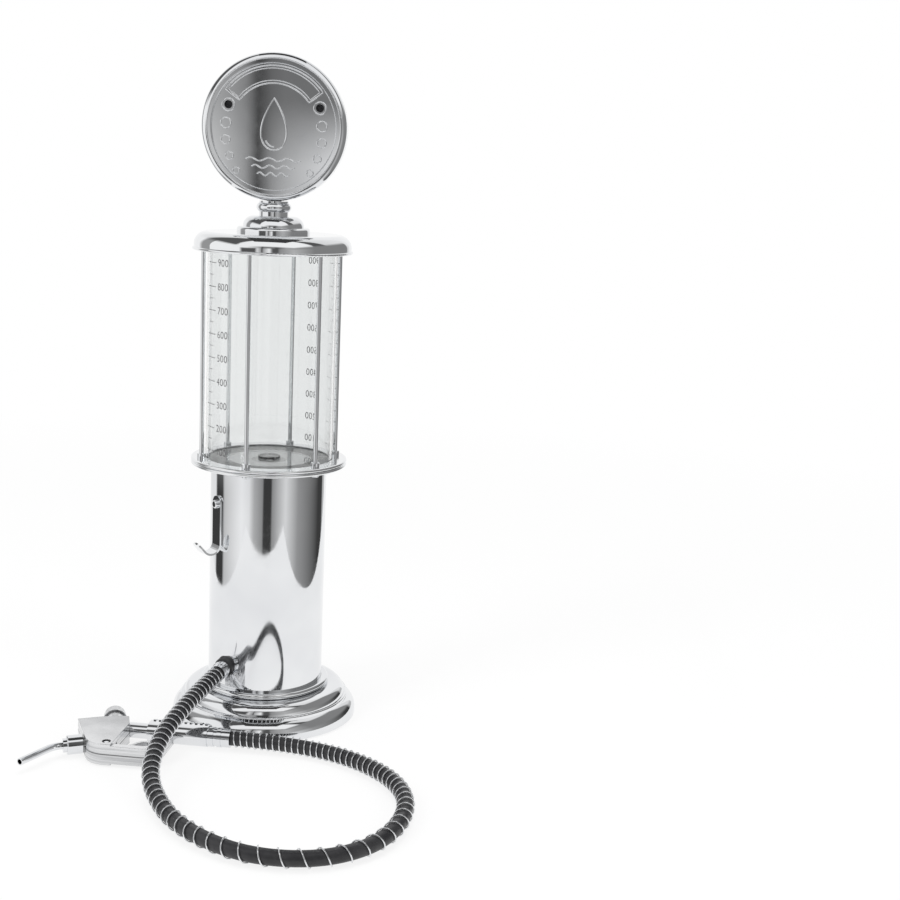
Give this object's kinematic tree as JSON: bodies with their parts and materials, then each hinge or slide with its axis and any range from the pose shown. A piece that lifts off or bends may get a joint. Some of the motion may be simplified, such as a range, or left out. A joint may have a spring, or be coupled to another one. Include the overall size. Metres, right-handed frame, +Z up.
{
  "type": "drink dispenser",
  "caption": "Tabletop drink dispenser shaped like an old fuel pump: clear tank on a chrome column, lift-off sign lid, and a wire-wound hose with a trigger nozzle.",
  "frame": {"origin": "on the table under the middle of the round base", "axes": "+Z up along the column; -Y is the side that the sign faces; the hook and the hose outlet are on the -X, -Y side"},
  "size_m": [0.2641, 0.3236, 0.4773],
  "materials": {
    "chrome": "mirror chrome plating",
    "satin_metal": "satin silver",
    "spring_wire": "bright drawn wire",
    "clear_acrylic": "clear, polished",
    "clear_silicone": "milky, smooth",
    "black_rubber": "smooth, slightly glossy",
    "black_foam": "matt, fine grain",
    "dark_screw": "blackened, satin"
  },
  "bodies": {
    "stand": {"base_shell": "chrome", "base_feet": "clear_silicone", "base_pad": "black_foam", "base_screws": "chrome", "foot_bead": "chrome", "column": "chrome", "seat_ring": "chrome", "rod_screws": "chrome", "tie_rod_1": "chrome", "tie_rod_2": "chrome", "tie_rod_3": "chrome", "tie_rod_4": "chrome", "tie_rod_5": "chrome", "tie_rod_6": "chrome", "rod_nuts": "chrome", "tank": "clear_acrylic", "lower_gasket": "clear_silicone", "upper_gasket": "clear_silicone", "top_plate": "satin_metal", "cap": "chrome", "outlet_barb": "clear_acrylic", "outlet_nut": "satin_metal", "inner_hose": "black_rubber", "grommet": "black_rubber", "column_ferrule": "chrome", "hook": "chrome", "hook_screw": "chrome", "hook_nut": "chrome", "nozzle_upper": "satin_metal", "nozzle_lower": "satin_metal", "trigger_pin": "chrome", "trigger_nut": "chrome", "valve_spring": "spring_wire", "valve_cap": "chrome", "handle": "chrome", "handle_collar": "chrome", "nozzle_ferrule": "chrome", "spout_collar": "chrome", "spout": "chrome", "hose": "black_rubber", "hose_spring": "spring_wire"},
    "lid": {"lid_foot": "chrome", "lid_seal": "black_rubber", "sign_front": "chrome", "sign_back": "chrome", "sign_screws": "dark_screw"},
    "trigger": {"trigger": "satin_metal"},
    "valve": {"valve_stem": "satin_metal", "valve_seal": "black_rubber"}
  },
  "joints": [
    {"name": "lid_lift", "type": "slide", "parent": "stand", "child": "lid", "axis": [0, 0, 1], "range_m": [0, 0.04]},
    {"name": "trigger_pull", "type": "hinge", "parent": "stand", "child": "trigger", "pos_m": [-0.09282, -0.1105, 0.0084], "axis": [0, 0, 1], "range_deg": [0, 14], "stiffness_Nm_per_rad": 0.08, "springref_deg": -8.59},
    {"name": "valve_push", "type": "slide", "parent": "stand", "child": "valve", "axis": [-0.2334, 0.9724, 0], "range_m": [0, 0.0017], "deforming": ["valve_spring"]}
  ],
  "couplings": [
    {"joint": "valve_push", "follows": "trigger_pull", "m_per_rad": 0.00647}
  ]
}
